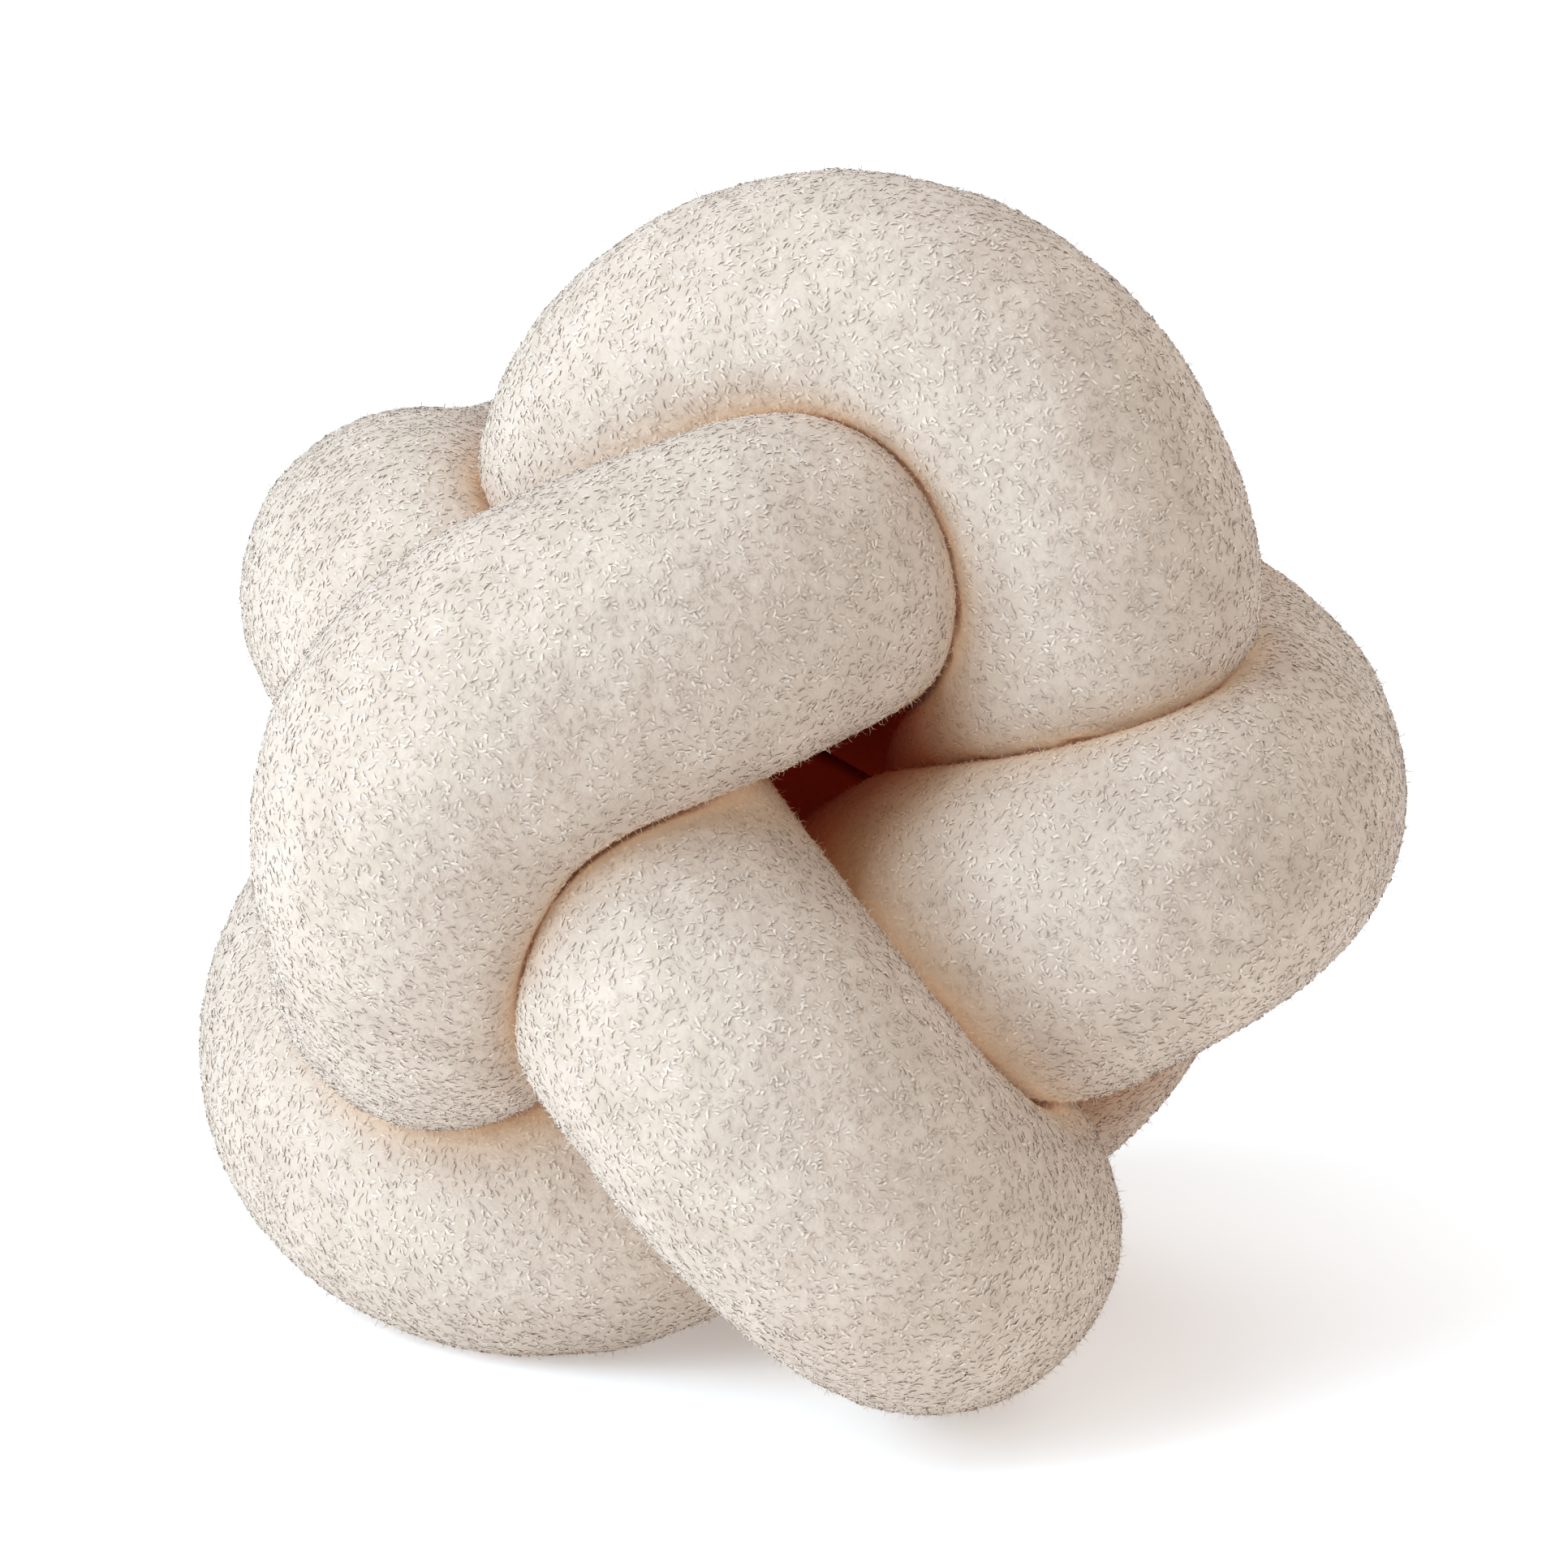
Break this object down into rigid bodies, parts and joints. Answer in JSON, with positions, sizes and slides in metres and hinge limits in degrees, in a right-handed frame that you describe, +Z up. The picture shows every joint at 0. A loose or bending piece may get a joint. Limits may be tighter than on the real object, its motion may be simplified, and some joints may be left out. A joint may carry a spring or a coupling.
{
  "type": "knot cushion",
  "caption": "Ball-shaped floor or sofa cushion woven from one long stuffed fleece tube, resting on small flat spots.",
  "frame": {"origin": "on the floor, under the middle of the cushion's bounding box", "axes": "+X to the cushion's right as seen from the front, +Y to its back, +Z up"},
  "size_m": [0.291, 0.3204, 0.2959],
  "materials": {
    "fleece": "cream curly fleece, matt"
  },
  "bodies": {
    "root": {"knotted_tube": "fleece"}
  },
  "joints": []
}
